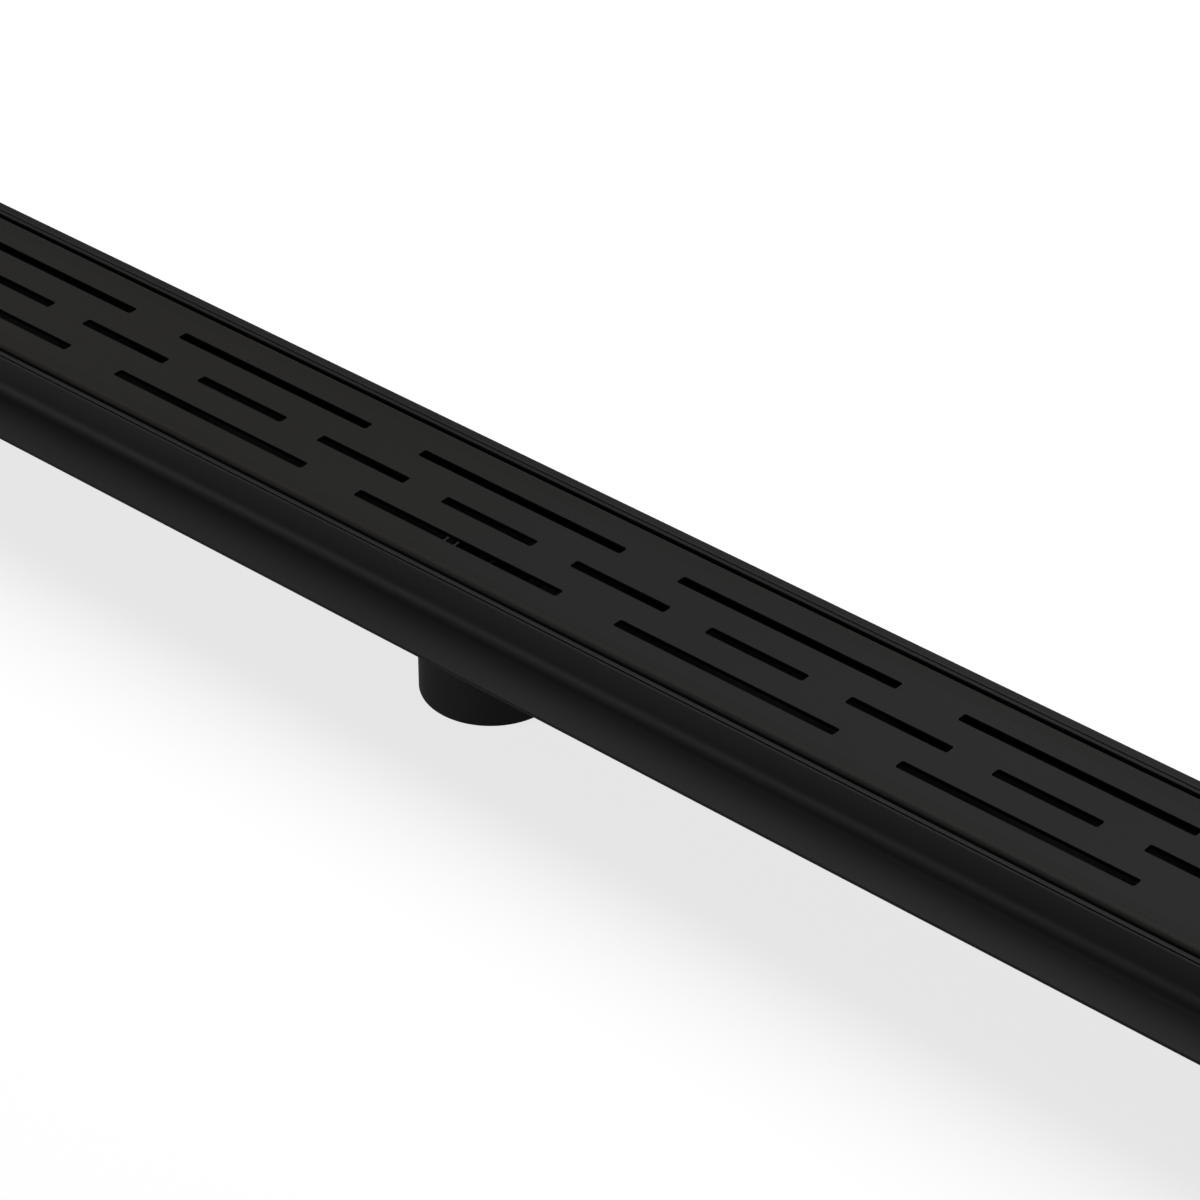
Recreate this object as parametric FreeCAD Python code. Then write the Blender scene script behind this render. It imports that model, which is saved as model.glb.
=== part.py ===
# Linear channel drain for a wet-room floor: a shallow folded trough, welded end plates and a
# mitred flange frame, a centre outlet tube, a lift-out slotted grate on padded rests and a
# hair strainer. Millimetres. +X runs along the channel, +Y across it, +Z up. The origin is the
# centre of the outlet tube's lower end.
import FreeCAD, Part
import math
import os

Vector = FreeCAD.Vector

# ---- driving dimensions -------------------------------------------------------------------
overall_length = 914.4          # over the flange, 36 inch
overall_width = 112.8           # over the flange
grate_top = 68.0                # grate face above the tube's lower end
trough_sheet = 1.6              # trough and end plates
frame_sheet = 1.2               # flange of the frame angles, rest brackets

# Trough
trough_half_width = 34.8        # outer faces of its two walls
lip_drop = 0.5                  # lip below the grate face
floor_drop = 17.5               # floor below the grate face at the outlet
floor_fall = 2.5                # rise of the floor from the outlet to each end
sump_half_length = 32.0         # level part of the floor around the outlet
trough_bend = 2.0               # inside radius along the floor
lip_round = 0.3
floor_hole_radius = 18.6        # seat for the strainer, smaller than the tube's bore

# Frame angles
leg_sheet = 1.5                 # upright leg, against the trough wall
leg_drop = 0.65                 # its top edge below the grate face
leg_round = 0.35                # both corners of its top edge
seam_width = 0.5                # open seam between the trough's lip and the leg
seam_drop = 1.75                # bottom of the seam below the grate face
flange_drop = 16.0              # flange top below the grate face
flange_bend = 5.7               # radius between the leg and the flange
flange_edge_round = 0.25

# Outlet tube
tube_radius = 25.4
tube_wall = 1.5
tube_edge_round = 0.4
weld_leg = 2.0                  # fillet weld between the tube and the trough

# Grate
grate_sheet = 1.5
grate_gap = 1.7                 # between the grate's edge and the trough's lip
grate_bend = 1.7                # outer radius of its turned-down edges
grate_bend_inside = 0.2
skirt_depth = 8.0
corner_slit = 0.5               # open seam between two turned-down edges
slot_pitch = 117.2              # long slots, centre to centre
slot_row_spacing = 16.33
long_slot_length = 92.2
short_slot_length = 41.2
slot_width = 4.19
slot_corner = 0.9
long_slots = 7                  # in each outer row
short_slots = 13                # in the middle row, at half the pitch

# Rests under the grate's edges
rest_stations = (-3.5, -1.5, 1.5, 3.5)      # in slot pitches, under the plain bridges
bracket_length = 16.0
bracket_reach = 5.8             # from the trough wall inwards
bracket_height = 3.6
bracket_bend = 0.6
pad_length = 14.0
pad_width = 4.8
pad_thickness = 1.2
pad_round = 0.8

# Hair strainer
strainer_sheet = 0.8
rim_radius = 22.0
cup_radius = 17.0               # inside of the cup
cup_depth = 14.0                # below the trough floor
rim_bend = 0.5
cup_bend = 2.0
drain_hole_radius = 1.5
floor_hole_rings = ((0.0, 1), (5.6, 6), (11.2, 12))    # ring radius, holes
wall_hole_count = 18
wall_hole_levels = (4.5, 9.0)   # below the trough floor
handle_radius = 1.0
handle_drop = 0.2               # highest point of the wire's axis below the trough floor
handle_sag = 1.2                # its ends below its middle

# ---- levels and outlines worked out from them ---------------------------------------------
lip_z = grate_top - lip_drop
leg_z = grate_top - leg_drop
seam_z = grate_top - seam_drop
flange_z = grate_top - flange_drop
floor_z = grate_top - floor_drop
under_floor_z = floor_z - trough_sheet
flange_reach = overall_width / 2 - trough_half_width
trough_half_length = overall_length / 2 - flange_reach
trough_inner_half_width = trough_half_width - trough_sheet
trough_inner_half_length = trough_half_length - trough_sheet
grate_half_width = trough_inner_half_width - grate_gap
grate_half_length = trough_inner_half_length - grate_gap
fold_z = grate_top - grate_bend
skirt_z = grate_top - skirt_depth
shelf_z = skirt_z - pad_thickness


# ---- helpers ------------------------------------------------------------------------------
def in_yz(u, v):
    """Section across the channel: u along Y, v along Z."""
    return Vector(0, u, v)


def in_xy(u, v):
    """Plan: u along X, v along Y."""
    return Vector(u, v, 0)


def in_xz(u, v):
    """Section along a radius: u along X, v along Z."""
    return Vector(u, 0, v)


def outline(corners, place):
    """Face with straight sides between (u, v, radius) corners, each rounded by its radius."""
    count = len(corners)
    rounds = []
    for index, (u, v, radius) in enumerate(corners):
        corner = Vector(u, v, 0)
        u_before, v_before, _ = corners[index - 1]
        u_after, v_after, _ = corners[(index + 1) % count]
        back = (Vector(u_before, v_before, 0) - corner).normalize()
        ahead = (Vector(u_after, v_after, 0) - corner).normalize()
        half_angle = back.getAngle(ahead) / 2
        reach = radius / math.tan(half_angle)
        inward = (back + ahead).normalize()
        middle = corner + inward * (radius / math.sin(half_angle) - radius)
        rounds.append((corner + back * reach, middle, corner + ahead * reach, radius))
    edges = []
    for index, (start, middle, end, radius) in enumerate(rounds):
        if radius > 0:
            arc = Part.Arc(*[place(point.x, point.y) for point in (start, middle, end)])
            edges.append(arc.toShape())
        following = rounds[(index + 1) % count][0]
        if end.distanceToPoint(following) > 1e-6:
            ends = [place(point.x, point.y) for point in (end, following)]
            edges.append(Part.LineSegment(*ends).toShape())
    return Part.Face(Part.Wire(edges))


def block(low, high):
    """Box between two opposite corners."""
    size = high - low
    return Part.makeBox(size.x, size.y, size.z, low)


def edges_along(shape, axis, test):
    """Straight edges of the shape that run along the axis and whose midpoint passes the test."""
    found = []
    for edge in shape.Edges:
        if not isinstance(edge.Curve, Part.Line):
            continue
        run = edge.Vertexes[-1].Point - edge.Vertexes[0].Point
        if abs(run.normalize().dot(axis)) > 0.999 and test(edge.CenterOfMass):
            found.append(edge)
    return found


def ring_of_points(radius, count, z):
    """Evenly spaced points on a circle about the outlet's axis."""
    for index in range(count):
        angle = 2 * math.pi * index / count
        yield Vector(radius * math.cos(angle), radius * math.sin(angle), z)


# ---- trough and its end plates ------------------------------------------------------------
def trough_inside(top_z):
    """Section of the water way at the outlet, up to top_z."""
    half = trough_inner_half_width
    return [(-half, top_z, 0), (-half, floor_z, trough_bend),
            (half, floor_z, trough_bend), (half, top_z, 0)]


def run_out(face):
    """Extrude a section at the outlet over the level floor and up both falls."""
    slope_length = trough_half_length - sump_half_length
    level = face.translated(Vector(-sump_half_length, 0, 0))
    level = level.extrude(Vector(2 * sump_half_length, 0, 0))
    spans = []
    for side in (-1, 1):
        start = face.translated(Vector(side * sump_half_length, 0, 0))
        spans.append(start.extrude(Vector(side * slope_length, 0, floor_fall)))
    return level.fuse(spans).removeSplitter()


def make_trough():
    """One folded sheet: a floor that falls to the outlet and two upright walls."""
    half = trough_half_width
    outer_bend = trough_bend + trough_sheet
    section = [(-half, lip_z, 0), (-half, under_floor_z, outer_bend),
               (half, under_floor_z, outer_bend), (half, lip_z, 0)]
    section += reversed(trough_inside(lip_z))
    trough = run_out(outline(section, in_yz))
    above = block(Vector(-overall_length, -overall_width, lip_z),
                  Vector(overall_length, overall_width, lip_z + 2 * floor_fall))
    trough = trough.cut(above).removeSplitter()
    along_x = Vector(1, 0, 0)
    lip_edges = edges_along(trough, along_x, lambda middle: abs(middle.z - lip_z) < 0.01)
    trough = trough.makeFillet(lip_round, lip_edges)
    hole = Part.makeCylinder(floor_hole_radius, 4 * trough_sheet,
                             Vector(0, 0, floor_z - 2 * trough_sheet))
    return trough.cut(hole)


def make_end_plate(side):
    """Plate that closes the trough between its walls, flush with the walls' ends."""
    water_way = run_out(outline(trough_inside(lip_z), in_yz))
    near = side * trough_inner_half_length
    far = side * trough_half_length
    slab = block(Vector(min(near, far), -overall_width, 0),
                 Vector(max(near, far), overall_width, lip_z))
    plate = water_way.common(slab).removeSplitter()
    along_y = Vector(0, 1, 0)
    top_edges = edges_along(plate, along_y, lambda middle: abs(middle.z - lip_z) < 0.01)
    return plate.makeFillet(lip_round, top_edges)


# ---- flange frame -------------------------------------------------------------------------
def frame_section():
    """Angle section with the open seam beside the lip: u is the distance out from the wall."""
    bottom_z = flange_z - frame_sheet
    return [(0, seam_z, 0), (seam_width, seam_z, 0), (seam_width, leg_z, leg_round),
            (leg_sheet, leg_z, leg_round), (leg_sheet, flange_z, flange_bend),
            (flange_reach, flange_z, flange_edge_round),
            (flange_reach, bottom_z, flange_edge_round),
            (0, bottom_z, flange_bend + frame_sheet)]


def make_frame_angle(side_length, wall_offset, turn_deg):
    """Angle along one side, mitred at both ends, turned about Z into its place."""
    section = outline(frame_section(), lambda u, v: Vector(0, -wall_offset - u, v))
    bar = section.translated(Vector(-side_length / 2, 0, 0))
    bar = bar.extrude(Vector(side_length, 0, 0))
    outer = wall_offset + flange_reach
    inner_half = side_length / 2 - 2 * flange_reach
    plan = outline([(-side_length / 2, -outer, 0), (side_length / 2, -outer, 0),
                    (inner_half, -outer + 2 * flange_reach, 0),
                    (-inner_half, -outer + 2 * flange_reach, 0)], in_xy)
    angle = bar.common(plan.extrude(Vector(0, 0, grate_top)))
    angle.rotate(Vector(0, 0, 0), Vector(0, 0, 1), turn_deg)
    return angle


# ---- outlet -------------------------------------------------------------------------------
def make_outlet_tube():
    """Tube with rounded lower edges and its fillet weld under the trough."""
    bore = tube_radius - tube_wall
    wall = outline([(bore, 0, tube_edge_round), (tube_radius, 0, tube_edge_round),
                    (tube_radius, under_floor_z - weld_leg, 0),
                    (tube_radius + weld_leg, under_floor_z, 0),
                    (bore, under_floor_z, 0)], in_xz)
    return wall.revolve(Vector(0, 0, 0), Vector(0, 0, 1), 360)


# ---- grate --------------------------------------------------------------------------------
def folded_tray(half_length, half_width, top_z, edge_radius):
    """Block down to the skirt's lower edge, rounded along its four top edges."""
    tray = block(Vector(-half_length, -half_width, skirt_z),
                 Vector(half_length, half_width, top_z))
    top_edges = [edge for edge in tray.Edges if abs(edge.CenterOfMass.z - top_z) < 0.01]
    return tray.makeFillet(edge_radius, top_edges)


def slot_cutter(x, y, length):
    """Prism of one slot, with small corner radii."""
    half_length = length / 2
    half_width = slot_width / 2
    corners = [(x + sx * half_length, y + sy * half_width, slot_corner)
               for sx, sy in ((-1, -1), (1, -1), (1, 1), (-1, 1))]
    face = outline(corners, in_xy).translated(Vector(0, 0, skirt_z))
    return face.extrude(Vector(0, 0, 2 * skirt_depth))


def slot_row(y, count, pitch, length):
    """Cutters of one row, centred on the outlet."""
    first = -(count - 1) / 2 * pitch
    return [slot_cutter(first + index * pitch, y, length) for index in range(count)]


def corner_slit_cutter(side_x, side_y):
    """Thin upright cut that parts two turned-down edges at a corner."""
    reach = 2 * grate_sheet
    slit = block(Vector(-reach, -corner_slit / 2, -1),
                 Vector(reach, corner_slit / 2, skirt_depth - grate_bend))
    slit.rotate(Vector(0, 0, 0), Vector(0, 0, 1), 45 * side_x * side_y)
    return slit.translated(Vector(side_x * grate_half_length, side_y * grate_half_width, skirt_z))


def make_folded_grate():
    """One sheet with three rows of slots and all four edges turned down."""
    grate = folded_tray(grate_half_length, grate_half_width, grate_top, grate_bend)
    inside = folded_tray(grate_half_length - grate_sheet, grate_half_width - grate_sheet,
                         grate_top - grate_sheet, grate_bend_inside)
    cutters = [inside]
    for y in (-slot_row_spacing, slot_row_spacing):
        cutters += slot_row(y, long_slots, slot_pitch, long_slot_length)
    cutters += slot_row(0, short_slots, slot_pitch / 2, short_slot_length)
    for side_x in (-1, 1):
        for side_y in (-1, 1):
            cutters.append(corner_slit_cutter(side_x, side_y))
    return grate.cut(cutters)


def make_grate_nodes():
    """The slotted face with its bend, and each turned-down edge below the bend."""
    sheet = make_folded_grate()
    corner = Vector(overall_length, overall_width, 0)
    above = block(Vector(-corner.x, -corner.y, fold_z), corner + Vector(0, 0, grate_top))
    nodes = {"grate": sheet.common(above).removeSplitter()}
    sides = {"front": (0, -1), "right": (1, 0), "back": (0, 1), "left": (-1, 0)}
    for edge in sheet.cut(above).Solids:
        middle = edge.CenterOfMass
        across = (middle.x / grate_half_length, middle.y / grate_half_width)
        for side_name, (side_x, side_y) in sides.items():
            if across[0] * side_x + across[1] * side_y > 0.9:
                nodes[f"grate_edge_{side_name}"] = edge
    return nodes


# ---- rests under the grate ----------------------------------------------------------------
def make_rest_bracket(x, side):
    """Small angle welded to the trough wall, its shelf turned inwards."""
    wall = side * trough_inner_half_width
    inner = wall - side * bracket_reach
    leg = wall - side * frame_sheet
    foot_z = shelf_z - bracket_height
    under_shelf_z = shelf_z - frame_sheet
    section = [(wall, shelf_z, bracket_bend + frame_sheet), (wall, foot_z, 0), (leg, foot_z, 0),
               (leg, under_shelf_z, bracket_bend), (inner, under_shelf_z, 0), (inner, shelf_z, 0)]
    face = outline(section, in_yz).translated(Vector(x - bracket_length / 2, 0, 0))
    return face.extrude(Vector(bracket_length, 0, 0))


def make_rest_pad(x, side):
    """Rubber pad on the shelf, under the grate's turned-down edge."""
    middle = side * (grate_half_width - grate_sheet / 2)
    corners = [(x + sx * pad_length / 2, middle + sy * pad_width / 2, pad_round)
               for sx, sy in ((-1, -1), (1, -1), (1, 1), (-1, 1))]
    face = outline(corners, in_xy).translated(Vector(0, 0, shelf_z))
    return face.extrude(Vector(0, 0, pad_thickness))


# ---- hair strainer ------------------------------------------------------------------------
def make_strainer_basket():
    """Pressed cup with a flat rim on the trough floor and round holes in base and wall."""
    sheet = strainer_sheet
    rim_z = floor_z + sheet
    base_z = floor_z - cup_depth
    section = [(0, base_z, 0), (cup_radius + sheet, base_z, cup_bend + sheet),
               (cup_radius + sheet, floor_z, 0),
               (rim_radius, floor_z, sheet / 3), (rim_radius, rim_z, sheet / 2),
               (cup_radius, rim_z, rim_bend), (cup_radius, base_z + sheet, cup_bend),
               (0, base_z + sheet, 0)]
    cup = outline(section, in_xz).revolve(Vector(0, 0, 0), Vector(0, 0, 1), 360)
    drills = []
    for ring_radius, count in floor_hole_rings:
        for point in ring_of_points(ring_radius, count, base_z - sheet):
            drills.append(Part.makeCylinder(drain_hole_radius, 3 * sheet, point))
    for level in wall_hole_levels:
        for point in ring_of_points(cup_radius - sheet, wall_hole_count, floor_z - level):
            outward = Vector(point.x, point.y, 0)
            drills.append(Part.makeCylinder(drain_hole_radius, 3 * sheet, point, outward))
    return cup.cut(drills)


def make_strainer_handle():
    """Low wire arch across the cup, welded to its wall at both ends."""
    middle_z = floor_z - handle_drop
    end_z = middle_z - handle_sag
    end_y = cup_radius + strainer_sheet / 2
    arch = Part.Arc(Vector(0, -end_y, end_z), Vector(0, 0, middle_z), Vector(0, end_y, end_z))
    path = Part.Wire([arch.toShape()])
    start = path.Edges[0].firstVertex().Point
    heading = path.Edges[0].tangentAt(path.Edges[0].FirstParameter)
    circle = Part.Wire([Part.makeCircle(handle_radius, start, heading)])
    wire = path.makePipeShell([circle], True, False)
    inside = Part.makeCylinder(cup_radius, cup_depth, Vector(0, 0, floor_z - cup_depth))
    return wire.common(inside)


# ---- all nodes ----------------------------------------------------------------------------
def make_nodes():
    """Every sub-part by its name."""
    nodes = {
        "channel_trough": make_trough(),
        "trough_end_left": make_end_plate(-1),
        "trough_end_right": make_end_plate(1),
        "frame_angle_front": make_frame_angle(overall_length, trough_half_width, 0),
        "frame_angle_right": make_frame_angle(overall_width, trough_half_length, 90),
        "frame_angle_back": make_frame_angle(overall_length, trough_half_width, 180),
        "frame_angle_left": make_frame_angle(overall_width, trough_half_length, 270),
        "outlet_tube": make_outlet_tube(),
        "strainer_basket": make_strainer_basket(),
        "strainer_handle": make_strainer_handle(),
    }
    nodes.update(make_grate_nodes())
    for side_name, side in (("front", -1), ("back", 1)):
        for number, station in enumerate(rest_stations, start=1):
            x = station * slot_pitch
            nodes[f"rest_bracket_{side_name}_{number}"] = make_rest_bracket(x, side)
            nodes[f"rest_pad_{side_name}_{number}"] = make_rest_pad(x, side)
    return nodes


os.makedirs("parts", exist_ok=True)
for name, shape in make_nodes().items():
    box = shape.BoundBox
    print(f"{name}: solids {len(shape.Solids)}, valid {shape.isValid()}, "
          f"volume {shape.Volume / 1000:.2f} cm3, "
          f"x {box.XMin:.2f}..{box.XMax:.2f}, y {box.YMin:.2f}..{box.YMax:.2f}, "
          f"z {box.ZMin:.2f}..{box.ZMax:.2f}")
    shape.exportStep(f"parts/{name}.step")
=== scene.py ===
"""Linear channel drain: coats, welds and strainer detail on its fixed frame, and a pale studio.

Metres. +X runs along the channel, +Y across it, +Z up. The origin is the centre of the outlet
tube's lower end.
"""

import math

import bmesh
import bpy
from mathutils import Matrix, Vector


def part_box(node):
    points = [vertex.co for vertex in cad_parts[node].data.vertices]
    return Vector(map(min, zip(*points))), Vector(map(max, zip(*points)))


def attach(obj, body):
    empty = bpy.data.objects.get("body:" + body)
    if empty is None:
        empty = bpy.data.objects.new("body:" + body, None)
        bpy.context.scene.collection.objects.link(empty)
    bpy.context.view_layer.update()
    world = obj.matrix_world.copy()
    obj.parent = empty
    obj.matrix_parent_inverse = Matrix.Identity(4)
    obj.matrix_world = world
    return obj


bl_info = {
    "name": "Channel Drain",
    "version": (1, 0, 0),
    "blender": (4, 5, 0),
    "location": "3D View > Sidebar > Drain",
    "description": "Dresses a linear channel drain and sets it on a pale studio floor",
    "category": "Object",
}

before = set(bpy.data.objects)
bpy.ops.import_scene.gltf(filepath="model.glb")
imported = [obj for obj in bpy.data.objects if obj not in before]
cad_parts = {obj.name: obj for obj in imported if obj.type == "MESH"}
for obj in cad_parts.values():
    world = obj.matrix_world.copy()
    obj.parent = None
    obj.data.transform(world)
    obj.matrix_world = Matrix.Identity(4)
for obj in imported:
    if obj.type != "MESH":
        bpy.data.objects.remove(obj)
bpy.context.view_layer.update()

MILLIMETRE = 0.001
FLANGE_SHEET = 1.2 * MILLIMETRE
STITCH_RISE = 2.9 * MILLIMETRE      # stitch welds above the underside of the flange
STITCH_REACH = 0.8 * MILLIMETRE     # stitch welds beyond the trough's wall
BEND_REACH = 7.4 * MILLIMETRE       # where the flange turns flat, beyond the trough's wall
SEAM_MARGIN = 0.9 * MILLIMETRE      # from a mitre seam's end to the tip of the flange
LINK_INSET = 1.8 * MILLIMETRE       # from the strainer's edge to the pull link's outer leg
FLOOR_GAP = 0.1 * MILLIMETRE        # from the tube's lower end to the floor
FLOOR_REACH = 20.0                  # half the width of the floor
SENSOR_WIDTH = 36                   # of the camera, in millimetres


# ---- settings -----------------------------------------------------------------------------
class DrainCoatSettings(bpy.types.PropertyGroup):
    """Powder coat of the trough, the frame and the grate."""

    body_tone: bpy.props.FloatVectorProperty(
        name="Body coat", description="Colour of the coat on trough, tube and rests",
        subtype="COLOR", size=3, min=0, max=1, default=(0.0129, 0.0128, 0.0124))
    frame_tone: bpy.props.FloatVectorProperty(
        name="Frame coat", description="Colour of the coat on the flange frame",
        subtype="COLOR", size=3, min=0, max=1, default=(0.0128, 0.0128, 0.0129))
    grate_tone: bpy.props.FloatVectorProperty(
        name="Grate coat", description="Colour of the coat on the slotted grate",
        subtype="COLOR", size=3, min=0, max=1, default=(0.0127, 0.0125, 0.0122))
    grate_margin_tone: bpy.props.FloatVectorProperty(
        name="Grate margins", description="Slightly warmer coat along the grate's long edges",
        subtype="COLOR", size=3, min=0, max=1, default=(0.0134, 0.0125, 0.0117))
    grate_end_tone: bpy.props.FloatVectorProperty(
        name="Grate left end", description="Warmer coat towards the left end of the grate",
        subtype="COLOR", size=3, min=0, max=1, default=(0.0134, 0.0128, 0.0106))
    peel_size: bpy.props.FloatProperty(
        name="Orange peel", description="Width of the fine waves in the coat",
        unit="LENGTH", min=0.0002, max=0.01, default=0.0012)
    margin_width: bpy.props.FloatProperty(
        name="Margin width", description="Plain margin between the slots and the grate's edge",
        unit="LENGTH", min=0.001, max=0.02, default=0.0055)


class DrainWeldSettings(bpy.types.PropertyGroup):
    """Welds of the outlet tube and the flange frame."""

    tube_bead: bpy.props.FloatProperty(
        name="Tube bead", description="Radius of the bead round the outlet tube",
        unit="LENGTH", min=0.0005, max=0.003, default=0.0013)
    stitch_bead: bpy.props.FloatProperty(
        name="Stitch bead", description="Radius of the short beads under the flange",
        unit="LENGTH", min=0.0005, max=0.002, default=0.0012)
    stitch_length: bpy.props.FloatProperty(
        name="Stitch length", description="Length of each short bead under the flange",
        unit="LENGTH", min=0.005, max=0.05, default=0.016)
    stitches: bpy.props.IntProperty(
        name="Stitches", description="Short beads along each long side",
        min=2, max=20, default=8)
    ripple: bpy.props.FloatProperty(
        name="Ripple", description="Distance from one ripple of a bead to the next",
        unit="LENGTH", min=0.0005, max=0.003, default=0.0012)
    mitre_bead: bpy.props.FloatProperty(
        name="Mitre seam", description="Half width of the dressed seam at each corner",
        unit="LENGTH", min=0.0003, max=0.002, default=0.0007)


class DrainStrainerSettings(bpy.types.PropertyGroup):
    """Hair strainer in the outlet, with the wire link that lifts it."""

    coat_tone: bpy.props.FloatVectorProperty(
        name="Strainer coat", description="Colour of the coat on the strainer",
        subtype="COLOR", size=3, min=0, max=1, default=(0.006, 0.006, 0.006))
    steel_tone: bpy.props.FloatVectorProperty(
        name="Strainer wire", description="Colour of the bare steel wire",
        subtype="COLOR", size=3, min=0, max=1, default=(0.24, 0.24, 0.24))
    link_wire: bpy.props.FloatProperty(
        name="Link wire", description="Radius of the pull link's wire",
        unit="LENGTH", min=0.0002, max=0.001, default=0.0003)
    link_width: bpy.props.FloatProperty(
        name="Link width", description="Distance between the two legs of the pull link",
        unit="LENGTH", min=0.002, max=0.01, default=0.0047)
    link_length: bpy.props.FloatProperty(
        name="Link length", description="Length of the straight legs of the pull link",
        unit="LENGTH", min=0.002, max=0.02, default=0.008)


class DrainStageSettings(bpy.types.PropertyGroup):
    """Floor, lights and camera."""

    floor_tone: bpy.props.FloatVectorProperty(
        name="Floor", description="Colour of the studio floor",
        subtype="COLOR", size=3, min=0, max=1, default=(0.24, 0.24, 0.24))
    floor_glow: bpy.props.FloatProperty(
        name="Floor glow", description="Strength of the light that the floor's table gives",
        min=0, max=2, default=0.768)
    room_light: bpy.props.FloatProperty(
        name="Room light", description="Strength of the even light of the room",
        min=0, max=5, default=0.06)
    overhead_light: bpy.props.FloatProperty(
        name="Overhead box", description="Brightness of the large soft box above the drain",
        min=0, max=20, default=2.8)
    side_light: bpy.props.FloatProperty(
        name="Side panel", description="Brightness of the panel beyond the left end",
        min=0, max=20, default=1.0)
    front_light: bpy.props.FloatProperty(
        name="Front strip", description="Brightness of the low strip at the front left",
        min=0, max=40, default=16.0)
    focal_length: bpy.props.FloatProperty(
        name="Focal length", description="Focal length of the camera's lens",
        unit="CAMERA", min=10, max=400, default=138.39)


# ---- material helpers ---------------------------------------------------------------------
class Finish:
    """A procedural material with a Principled shader and short calls to add its nodes."""

    def __init__(self, name):
        self.material = bpy.data.materials.new(name)
        self.material.use_nodes = True
        self.tree = self.material.node_tree
        self.tree.nodes.clear()
        output = self.tree.nodes.new("ShaderNodeOutputMaterial")
        self.shader = self.tree.nodes.new("ShaderNodeBsdfPrincipled")
        self.tree.links.new(self.shader.outputs["BSDF"], output.inputs["Surface"])
        self.place = self.tree.nodes.new("ShaderNodeTexCoord").outputs["Object"]

    def set(self, **values):
        """Values of the shader's own sockets."""
        for name, value in values.items():
            self.shader.inputs[name.replace("_", " ")].default_value = value

    def node(self, kind, **inputs):
        """A node with its inputs set or linked by name, with _ for a space."""
        made = self.tree.nodes.new(kind)
        for name, value in inputs.items():
            self.feed(made.inputs[name.replace("_", " ")], value)
        return made

    def feed(self, socket, value):
        if isinstance(value, bpy.types.NodeSocket):
            self.tree.links.new(value, socket)
        else:
            socket.default_value = value

    def link(self, output, name):
        self.tree.links.new(output, self.shader.inputs[name])

    def noise(self, size, detail=2.0, roughness=0.5, place=None):
        """Noise whose features are about size metres wide."""
        made = self.node("ShaderNodeTexNoise", Vector=place or self.place,
                         Scale=1 / size, Detail=detail, Roughness=roughness)
        return made.outputs["Fac"]

    def axes(self):
        """The X, Y and Z of a point's place."""
        return self.node("ShaderNodeSeparateXYZ", Vector=self.place).outputs

    def math(self, operation, first, second=0.0):
        made = self.tree.nodes.new("ShaderNodeMath")
        made.operation = operation
        self.feed(made.inputs[0], first)
        self.feed(made.inputs[1], second)
        return made.outputs["Value"]

    def spread(self, value, low, high, to_low, to_high):
        """A value's range turned into another, held at its ends."""
        made = self.node("ShaderNodeMapRange", Value=value, From_Min=low, From_Max=high,
                         To_Min=to_low, To_Max=to_high)
        return made.outputs["Result"]

    def blend(self, share, first, second):
        """Colour between two colours."""
        made = self.tree.nodes.new("ShaderNodeMix")
        made.data_type = "RGBA"
        self.feed(made.inputs["Factor"], share)
        self.feed(made.inputs[6], first)
        self.feed(made.inputs[7], second)
        return made.outputs[2]

    def relief(self, height, strength, depth):
        """Bump of a height field, depth in metres."""
        made = self.node("ShaderNodeBump", Height=height, Strength=strength, Distance=depth)
        self.link(made.outputs["Normal"], "Normal")


def scaled(tone, factor):
    """Tone made lighter or darker."""
    return [channel * factor for channel in tone]


def toned(tone, factor):
    """RGBA of a tone made lighter or darker."""
    return (*scaled(tone, factor), 1.0)


def powder_coat(name, tone, peel_size, roughness=0.5, specular=0.07):
    """Matte powder coat: fine orange peel, a speck of grain and a slow drift of tone."""
    coat = Finish(name)
    coat.set(Specular_IOR_Level=specular)
    drift = coat.spread(coat.noise(0.09, 3.0), 0.35, 0.65, 0.0, 1.0)
    grain = coat.spread(coat.noise(peel_size * 0.35, 1.0), 0.3, 0.7, 0.0, 1.0)
    base = coat.blend(drift, toned(tone, 0.94), toned(tone, 1.06))
    coat.colour = coat.blend(coat.math("MULTIPLY", grain, 0.5), base, toned(tone, 1.12))
    coat.link(coat.colour, "Base Color")
    coat.link(coat.spread(grain, 0, 1, roughness - 0.05, roughness + 0.07), "Roughness")
    coat.relief(coat.noise(peel_size, 1.5), 0.35, 0.06 * MILLIMETRE)
    return coat


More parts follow.
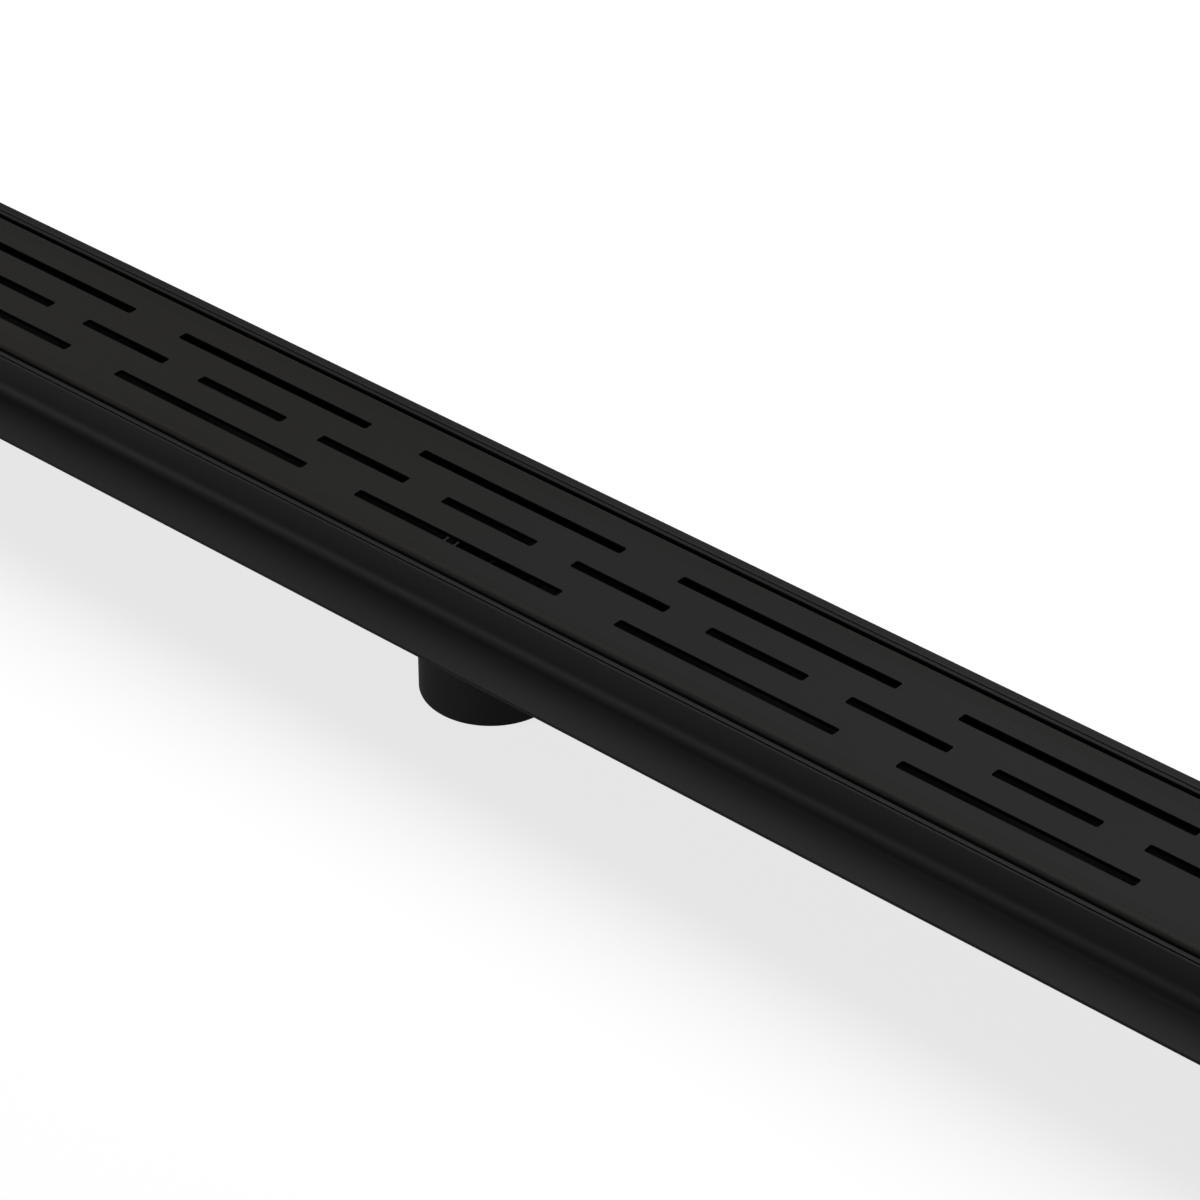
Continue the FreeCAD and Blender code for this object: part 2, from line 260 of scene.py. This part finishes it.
def grate_coat(name, tone, margin_tone, end_tone, margin_width, peel_size):
    """Coat of the grate: warmer margins with lines of painted reflection, painted shade on the
    slot walls and painted light on the folds.
    """
    coat = powder_coat(name, tone, peel_size)
    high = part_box("grate")[1]
    place = coat.axes()
    distance = coat.math("ABSOLUTE", place["Y"])
    crease = high.y - margin_width
    left = coat.spread(place["X"], -0.12, 0.02, 0.8, 0.0)
    colour = coat.blend(left, coat.colour, toned(end_tone, 1.0))
    warm = coat.spread(distance, crease - 1.5 * MILLIMETRE, crease + 1.5 * MILLIMETRE,
                       0.0, 0.8)
    colour = coat.blend(warm, colour, toned(margin_tone, 1.0))
    # Painted reflection: two faint darker lines along each margin stand in for the raised rim's
    # reflection.
    for offset in (-0.4 * MILLIMETRE, 1.7 * MILLIMETRE):
        off = coat.math("ABSOLUTE", coat.math("SUBTRACT", distance, crease + offset))
        rim_reflection_line = coat.spread(off, 0.2 * MILLIMETRE, 0.8 * MILLIMETRE, 0.7, 0.0)
        colour = coat.blend(rim_reflection_line, colour, toned(tone, 0.8))
    # Painted shade: steep faces inside the slotted field, the slot walls, are darkened to 0.15
    # of the tone.
    facing = coat.node("ShaderNodeNewGeometry").outputs["Normal"]
    upward = coat.node("ShaderNodeSeparateXYZ", Vector=facing).outputs["Z"]
    shaded_slot_wall = coat.spread(coat.math("ABSOLUTE", upward), 0.2, 0.6, 1.0, 0.0)
    inside = coat.spread(distance, crease - 2 * MILLIMETRE, crease, 1.0, 0.0)
    colour = coat.blend(coat.math("MULTIPLY", shaded_slot_wall, inside), colour, toned(tone, 0.15))
    # Painted light: the grate's folded edges, below its top and beyond the margin, are
    # lightened 2.4 and 4.5 times.
    outside = coat.spread(distance, crease + 3 * MILLIMETRE, crease + 4 * MILLIMETRE,
                          0.0, 1.0)
    for deep, shallow, factor in ((1.3, 0.6, 2.4), (2.2, 1.7, 4.5)):
        below = coat.spread(place["Z"], high.z - deep * MILLIMETRE,
                            high.z - shallow * MILLIMETRE, 1.0, 0.0)
        colour = coat.blend(coat.math("MULTIPLY", outside, below), colour,
                            toned(tone, factor))
    coat.link(colour, "Base Color")
    return coat


def trough_coat(name, tone, peel_size):
    """Coat of the trough: painted shade inside it, painted light on the outer face of its rim.
    """
    coat = powder_coat(name, tone, peel_size)
    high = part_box("channel_trough")[1]
    place = coat.axes()
    distance = coat.math("ABSOLUTE", place["Y"])
    # Painted light: the outer face of the rim's top, in the groove beside the frame, is
    # lightened 2.6 times.
    outer = coat.spread(distance, high.y - 0.3 * MILLIMETRE, high.y - 0.1 * MILLIMETRE,
                        0.0, 1.0)
    rim_light_height = coat.spread(place["Z"], high.z - 2.2 * MILLIMETRE, high.z - 1.2 * MILLIMETRE,
                        0.0, 1.0)
    colour = coat.blend(coat.math("MULTIPLY", outer, rim_light_height), coat.colour, toned(tone, 2.6))
    # Painted shade: inside the trough, below its rim, the coat is darkened to 0.35 of the tone.
    trough_shade_inside = coat.spread(distance, high.y - 0.6 * MILLIMETRE, high.y - 0.3 * MILLIMETRE,
                        1.0, 0.0)
    lower = coat.spread(place["Z"], high.z - 1.2 * MILLIMETRE, high.z - 0.6 * MILLIMETRE,
                        1.0, 0.0)
    colour = coat.blend(coat.math("MULTIPLY", trough_shade_inside, lower), colour, toned(tone, 0.35))
    coat.link(colour, "Base Color")
    return coat


def frame_coat(name, tone, peel_size):
    """Coat of the frame: painted shade in the flange's bend and along its sheared edge."""
    coat = powder_coat(name, tone, peel_size)
    low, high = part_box("frame_angle_front")
    place = coat.axes()
    beyond = [coat.math("SUBTRACT", coat.math("ABSOLUTE", place[axis]), reach)
              for axis, reach in (("X", high.x), ("Y", -low.y))]
    beyond = coat.math("MAXIMUM", *beyond)
    # Painted shade: the flange's bend beside the wall is darkened to half the tone.
    bend_start = coat.spread(beyond, -18.8 * MILLIMETRE, -17.7 * MILLIMETRE, 0.0, 1.0)
    bend_end = coat.spread(beyond, -16.8 * MILLIMETRE, -14.0 * MILLIMETRE, 1.0, 0.0)
    bend = coat.math("MULTIPLY", bend_start, bend_end)
    colour = coat.blend(bend, coat.colour, toned(tone, 0.5))
    # Painted shade: the flange's sheared edge, its last 0.2 mm, is darkened to a tenth of the
    # tone.
    edge = coat.spread(beyond, -0.2 * MILLIMETRE, -0.03 * MILLIMETRE, 0.0, 1.0)
    coat.link(coat.blend(edge, colour, toned(tone, 0.1)), "Base Color")
    return coat


def brushed_steel(name, tone):
    """Dull stainless steel with fine drawing lines and faint stains."""
    steel = Finish(name)
    steel.set(Metallic=1.0, Specular_IOR_Level=0.5)
    stretched = steel.node("ShaderNodeMapping", Vector=steel.place, Scale=(1.0, 1.0, 9.0))
    lines = steel.noise(0.0016, 3.0, 0.6, stretched.outputs["Vector"])
    stain = steel.spread(steel.noise(0.009, 3.0), 0.4, 0.7, 0.0, 1.0)
    steel.link(steel.blend(stain, toned(tone, 1.05), toned(tone, 0.72)), "Base Color")
    steel.link(steel.spread(lines, 0.3, 0.7, 0.28, 0.46), "Roughness")
    steel.relief(lines, 0.2, 0.03 * MILLIMETRE)
    return steel


def rest_rubber(name):
    """Black rubber with a fine moulded grain."""
    rubber = Finish(name)
    rubber.set(Specular_IOR_Level=0.2)
    grain = rubber.noise(0.0004, 2.0)
    base = rubber.blend(grain, (0.008, 0.008, 0.008, 1), (0.016, 0.016, 0.016, 1))
    rubber.link(base, "Base Color")
    rubber.link(rubber.spread(grain, 0.3, 0.7, 0.7, 0.85), "Roughness")
    rubber.relief(grain, 0.3, 0.04 * MILLIMETRE)
    return rubber


def floor_paint(name, tone, glow):
    """Plain pale floor lit from below, a little uneven in tone and gloss."""
    paint = Finish(name)
    paint.set(Specular_IOR_Level=0.1, Emission_Color=(1, 1, 1, 1), Emission_Strength=glow)
    drift = paint.spread(paint.noise(0.6, 2.0), 0.3, 0.7, 0.0, 1.0)
    paint.link(paint.blend(drift, toned(tone, 0.995), toned(tone, 1.005)), "Base Color")
    paint.link(paint.spread(drift, 0, 1, 0.75, 0.85), "Roughness")
    return paint


def coat_nodes(finish, *starts):
    """Gives a finish to every frame node whose name starts in one of these ways."""
    found = [node for name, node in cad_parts.items() if name.startswith(starts)]
    if not found:
        raise RuntimeError(f"no node starts with {starts}")
    for node in found:
        node.data.materials.clear()
        node.data.materials.append(finish.material)


# ---- mesh helpers -------------------------------------------------------------------------
def finish_piece(name, mesh, finish):
    """Object of a bmesh, outward faced, with its finish, riding on the drain."""
    bmesh.ops.remove_doubles(mesh, verts=mesh.verts, dist=1e-7)
    bmesh.ops.recalc_face_normals(mesh, faces=mesh.faces)
    data = bpy.data.meshes.new(name)
    mesh.to_mesh(data)
    mesh.free()
    data.shade_smooth()
    data.materials.append(finish.material)
    piece = bpy.data.objects.new(name, data)
    bpy.context.scene.collection.objects.link(piece)
    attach(piece, "root")
    return piece


def weld_ring(mesh, radius, height, bead_radius, ripples):
    """Round bead about the upright axis, narrower at every ripple."""
    steps = ripples * 3
    upright = Matrix.Rotation(math.pi / 2, 4, "X")
    place = Matrix.Translation((radius, 0, height)) @ upright
    circle = bmesh.ops.create_circle(mesh, segments=10, radius=bead_radius, matrix=place)
    edges = list({edge for vert in circle["verts"] for edge in vert.link_edges})
    bmesh.ops.spin(mesh, geom=circle["verts"] + edges, cent=(0, 0, 0), axis=(0, 0, 1),
                   angle=2 * math.pi, steps=steps, use_merge=True)
    for step in range(ripples):
        angle = 2 * math.pi * step / ripples
        centre = Vector((radius * math.cos(angle), radius * math.sin(angle), height))
        near = [vert for vert in mesh.verts
                if (vert.co - centre).length < bead_radius * 1.3
                and abs(math.atan2(vert.co.y, vert.co.x) % (2 * math.pi) - angle)
                < math.pi / steps]
        bmesh.ops.scale(mesh, vec=(0.84, 0.84, 0.84), verts=near,
                        space=Matrix.Translation(-centre))


def wire_link(mesh, centre, half_width, half_length, wire_radius):
    """Long closed link of round wire lying flat: two legs along Y and two half rings."""
    upright = Matrix.Rotation(math.pi / 2, 4, "X")
    start = centre + Vector((half_width, -half_length, 0))
    circle = bmesh.ops.create_circle(mesh, segments=12, radius=wire_radius,
                                     matrix=Matrix.Translation(start) @ upright)
    ring = circle["verts"]
    for way in (1, -1):
        rim = [edge for edge in mesh.edges if all(vert in ring for vert in edge.verts)]
        grown = bmesh.ops.extrude_edge_only(mesh, edges=rim)["geom"]
        ring = [part for part in grown if isinstance(part, bmesh.types.BMVert)]
        bmesh.ops.translate(mesh, vec=(0, way * 2 * half_length, 0), verts=ring)
        rim = [edge for edge in mesh.edges if all(vert in ring for vert in edge.verts)]
        turned = bmesh.ops.spin(mesh, geom=ring + rim, axis=(0, 0, 1), angle=math.pi, steps=16,
                                cent=centre + Vector((0, way * half_length, 0)))
        ring = [part for part in turned["geom_last"] if isinstance(part, bmesh.types.BMVert)]


def weld_bead(mesh, start, end, radius, ripple, flatten=None):
    """Straight bead with round ends, its rings swelling and shrinking at every ripple."""
    run = end - start
    turn = Vector((0, 0, 1)).rotation_difference(run).to_matrix().to_4x4()
    rings = max(8, round(run.length / ripple) * 4)
    made = bmesh.ops.create_circle(mesh, segments=10, radius=radius, cap_ends=True,
                                   matrix=Matrix.Translation(start) @ turn)
    ring = made["verts"]
    bead = list(ring)
    sizes = [math.sqrt(max(0.04, 1 - (2 * step / rings - 1) ** 8))
             * (1 - 0.14 * (step % 4 == 0)) for step in range(rings + 1)]
    bmesh.ops.scale(mesh, vec=(sizes[0],) * 3, verts=ring, space=Matrix.Translation(-start))
    for step in range(1, rings + 1):
        rim = [edge for edge in mesh.edges if all(vert in ring for vert in edge.verts)]
        grown = bmesh.ops.extrude_edge_only(mesh, edges=rim)["geom"]
        ring = [part for part in grown if isinstance(part, bmesh.types.BMVert)]
        bmesh.ops.translate(mesh, vec=run / rings, verts=ring)
        centre = start + run * step / rings
        factor = sizes[step] / sizes[step - 1]
        bmesh.ops.scale(mesh, vec=(factor,) * 3, verts=ring,
                        space=Matrix.Translation(-centre))
        bead += ring
    bmesh.ops.contextual_create(mesh, geom=ring)
    if flatten:
        middle = (start + end) / 2
        bmesh.ops.scale(mesh, vec=flatten, verts=bead, space=Matrix.Translation(-middle))


# ---- operators: coats ---------------------------------------------------------------------
class DRAIN_OT_coat_body(bpy.types.Operator):
    """Matte coat on the trough, its ends and the rests, with painted shade and light, and a
    darker copy, painted shade, on the outlet tube
    """

    bl_idname = "drain.coat_body"
    bl_label = "Coat Body"

    def execute(self, context):
        coat = context.scene.drain_coat
        finish = trough_coat("body_powder_coat", coat.body_tone, coat.peel_size)
        coat_nodes(finish, "channel_trough", "trough_end", "rest_bracket")
        # Painted shade: the tube gets a darker copy of the frame's coat, 0.8 of its tone.
        shaded_tube_coat = powder_coat("tube_shaded_powder_coat", scaled(coat.frame_tone, 0.8),
                           coat.peel_size, 0.6, 0.015)
        coat_nodes(shaded_tube_coat, "outlet_tube")
        return {"FINISHED"}


class DRAIN_OT_coat_frame(bpy.types.Operator):
    """Matte coat on the four angles of the flange frame"""

    bl_idname = "drain.coat_frame"
    bl_label = "Coat Frame"

    def execute(self, context):
        coat = context.scene.drain_coat
        finish = frame_coat("frame_powder_coat", coat.frame_tone, coat.peel_size)
        coat_nodes(finish, "frame_angle")
        return {"FINISHED"}


class DRAIN_OT_coat_grate(bpy.types.Operator):
    """Matte coat on the grate, a little warmer along its margins and to the left"""

    bl_idname = "drain.coat_grate"
    bl_label = "Coat Grate"

    def execute(self, context):
        coat = context.scene.drain_coat
        finish = grate_coat("grate_powder_coat", coat.grate_tone, coat.grate_margin_tone,
                            coat.grate_end_tone, coat.margin_width, coat.peel_size)
        coat_nodes(finish, "grate")
        return {"FINISHED"}


class DRAIN_OT_coat_pads(bpy.types.Operator):
    """Rubber finish on the eight pads under the grate"""

    bl_idname = "drain.coat_pads"
    bl_label = "Finish Rest Pads"

    def execute(self, context):
        coat_nodes(rest_rubber("pad_rubber"), "rest_pad")
        return {"FINISHED"}


# ---- operators: welds ---------------------------------------------------------------------
class DRAIN_OT_tube_weld(bpy.types.Operator):
    """Rippled bead where the outlet tube meets the trough"""

    bl_idname = "drain.tube_weld"
    bl_label = "Tube Weld"

    def execute(self, context):
        weld = context.scene.drain_weld
        coat = context.scene.drain_coat
        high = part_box("outlet_tube")[1]
        radius = high.x - weld.tube_bead * 0.85
        around = round(2 * math.pi * radius / weld.ripple)
        mesh = bmesh.new()
        weld_ring(mesh, radius, high.z - weld.tube_bead * 0.95, weld.tube_bead, around)
        finish = powder_coat("weld_coat", scaled(coat.body_tone, 0.6),
                             coat.peel_size, 0.6, 0.03)
        finish_piece("outlet_weld_bead", mesh, finish)
        return {"FINISHED"}


class DRAIN_OT_stitch_welds(bpy.types.Operator):
    """Short beads in the groove between the trough wall and the frame, under the flange"""

    bl_idname = "drain.stitch_welds"
    bl_label = "Stitch Welds"

    def execute(self, context):
        weld = context.scene.drain_weld
        coat = context.scene.drain_coat
        finish = powder_coat("stitch_coat", coat.body_tone, coat.peel_size)
        low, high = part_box("channel_trough")
        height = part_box("frame_angle_front")[0].z + STITCH_RISE
        for side_name, side in (("front", -1), ("back", 1)):
            mesh = bmesh.new()
            across = side * (high.y + STITCH_REACH)
            for number in range(weld.stitches):
                middle = low.x + (high.x - low.x) * (number + 0.5) / weld.stitches
                start = Vector((middle - weld.stitch_length / 2, across, height))
                end = Vector((middle + weld.stitch_length / 2, across, height))
                weld_bead(mesh, start, end, weld.stitch_bead, weld.ripple)
            finish_piece(f"frame_stitches_{side_name}", mesh, finish)
        return {"FINISHED"}


class DRAIN_OT_mitre_welds(bpy.types.Operator):
    """Dressed seams across the flange at the four corners of the frame"""

    bl_idname = "drain.mitre_welds"
    bl_label = "Mitre Welds"

    def execute(self, context):
        weld = context.scene.drain_weld
        coat = context.scene.drain_coat
        finish = powder_coat("mitre_coat", coat.frame_tone, coat.peel_size, 0.45)
        low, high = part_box("frame_angle_front")
        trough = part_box("channel_trough")[1]
        flange_top = low.z + FLANGE_SHEET
        mesh = bmesh.new()
        for side_x in (-1, 1):
            for side_y in (-1, 1):
                out = Vector((side_x, side_y, 0))
                corner = Vector((side_x * trough.x, side_y * trough.y, flange_top))
                tip = Vector((side_x * high.x, side_y * -low.y, flange_top))
                weld_bead(mesh, corner + out * BEND_REACH, tip - out * SEAM_MARGIN,
                          weld.mitre_bead, weld.ripple, flatten=(1, 1, 0.35))
        finish_piece("frame_mitre_seams", mesh, finish)
        return {"FINISHED"}


# ---- operators: strainer ------------------------------------------------------------------
class DRAIN_OT_strainer(bpy.types.Operator):
    """Coat on the strainer, bare wire, and the pull link that lies on its rim"""

    bl_idname = "drain.strainer"
    bl_label = "Strainer"

    def execute(self, context):
        settings = context.scene.drain_strainer
        coat = powder_coat("strainer_coat", settings.coat_tone, 0.6 * MILLIMETRE, 0.6, 0.02)
        coat_nodes(coat, "strainer_basket")
        wire = brushed_steel("handle_wire", scaled(settings.steel_tone, 0.03))
        coat_nodes(wire, "strainer_handle")
        low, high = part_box("strainer_basket")
        centre = Vector((low.x + LINK_INSET + settings.link_width / 2,
                         settings.link_length * 0.3, high.z + settings.link_wire))
        mesh = bmesh.new()
        wire_link(mesh, centre, settings.link_width / 2, settings.link_length / 2,
                  settings.link_wire)
        steel = brushed_steel("strainer_steel", settings.steel_tone)
        finish_piece("strainer_pull_link", mesh, steel)
        return {"FINISHED"}


# ---- operators: stage ---------------------------------------------------------------------
class DRAIN_OT_stage(bpy.types.Operator):
    """Pale floor, soft panels and the camera"""

    bl_idname = "drain.stage"
    bl_label = "Stage"

    def execute(self, context):
        stage = context.scene.drain_stage
        self.make_floor(stage)
        self.make_room(context, stage)
        self.make_panel("overhead_box", (0.1, 0.5, 1.37), (2.0, 1.7), stage.overhead_light)
        self.make_panel("side_panel", (-1.6, 0.45, 0.9), (1.2, 0.9), stage.side_light)
        self.make_panel("front_strip", (-0.9, -1.6, 0.25), (1.8, 0.18), stage.front_light)
        self.make_camera(context, stage)
        context.scene.view_settings.view_transform = "Standard"
        return {"FINISHED"}

    def make_floor(self, stage):
        mesh = bmesh.new()
        bmesh.ops.create_grid(mesh, x_segments=8, y_segments=8, size=FLOOR_REACH,
                              matrix=Matrix.Translation((0, 0, -FLOOR_GAP)))
        data = bpy.data.meshes.new("studio_floor")
        mesh.to_mesh(data)
        mesh.free()
        data.materials.append(floor_paint("floor_paint", stage.floor_tone,
                                          stage.floor_glow).material)
        floor = bpy.data.objects.new("studio_floor", data)
        bpy.context.scene.collection.objects.link(floor)

    def make_room(self, context, stage):
        room = bpy.data.worlds.new("studio_room")
        room.use_nodes = True
        light = room.node_tree.nodes["Background"]
        light.inputs["Color"].default_value = (1, 1, 1, 1)
        light.inputs["Strength"].default_value = stage.room_light
        context.scene.world = room

    def make_panel(self, name, place, size, brightness):
        """Rectangular soft light that faces the drain. Brightness is its radiance."""
        data = bpy.data.lights.new(name, "AREA")
        data.shape = "RECTANGLE"
        data.size, data.size_y = size
        data.energy = brightness * math.pi * size[0] * size[1]
        panel = bpy.data.objects.new(name, data)
        facing = Vector(place).to_track_quat("Z", "Y").to_matrix().to_4x4()
        panel.matrix_world = Matrix.Translation(place) @ facing
        panel.visible_camera = False
        bpy.context.scene.collection.objects.link(panel)

    def make_camera(self, context, stage):
        data = bpy.data.cameras.new("studio_camera")
        data.lens = stage.focal_length
        data.sensor_width = SENSOR_WIDTH
        data.clip_start = 0.05
        camera = bpy.data.objects.new("studio_camera", data)
        right = Vector((0.75699, 0.65343, 0.0)).normalized()
        back = Vector((0.53321, -0.61772, 0.57803)).normalized()
        up = back.cross(right).normalized()
        turn = Matrix((right, up, back)).transposed().to_4x4()
        camera.matrix_world = Matrix.Translation((0.8735, -0.9543, 0.9513)) @ turn
        context.scene.collection.objects.link(camera)
        context.scene.camera = camera


# ---- panel and run ------------------------------------------------------------------------
STEPS = (
    DRAIN_OT_coat_body,
    DRAIN_OT_coat_frame,
    DRAIN_OT_coat_grate,
    DRAIN_OT_coat_pads,
    DRAIN_OT_tube_weld,
    DRAIN_OT_stitch_welds,
    DRAIN_OT_mitre_welds,
    DRAIN_OT_strainer,
    DRAIN_OT_stage,
)
SETTINGS = {
    "drain_coat": DrainCoatSettings,
    "drain_weld": DrainWeldSettings,
    "drain_strainer": DrainStrainerSettings,
    "drain_stage": DrainStageSettings,
}


class DRAIN_PT_panel(bpy.types.Panel):
    """Settings and steps of the channel drain"""

    bl_idname = "DRAIN_PT_panel"
    bl_label = "Channel Drain"
    bl_space_type = "VIEW_3D"
    bl_region_type = "UI"
    bl_category = "Drain"

    def draw(self, context):
        for step in STEPS:
            self.layout.operator(step.bl_idname)
        for name, group in SETTINGS.items():
            box = self.layout.box()
            for setting in group.__annotations__:
                box.prop(getattr(context.scene, name), setting)


def register():
    for name, group in SETTINGS.items():
        bpy.utils.register_class(group)
        setattr(bpy.types.Scene, name, bpy.props.PointerProperty(type=group))
    for made in (*STEPS, DRAIN_PT_panel):
        bpy.utils.register_class(made)


def unregister():
    for made in (DRAIN_PT_panel, *reversed(STEPS)):
        bpy.utils.unregister_class(made)
    for name, group in SETTINGS.items():
        delattr(bpy.types.Scene, name)
        bpy.utils.unregister_class(group)


def main():
    register()
    bpy.ops.drain.coat_body()
    bpy.ops.drain.coat_frame()
    bpy.ops.drain.coat_grate()
    bpy.ops.drain.coat_pads()
    bpy.ops.drain.tube_weld()
    bpy.ops.drain.stitch_welds()
    bpy.ops.drain.mitre_welds()
    bpy.ops.drain.strainer()
    bpy.ops.drain.stage()


if __name__ == "__main__":
    main()
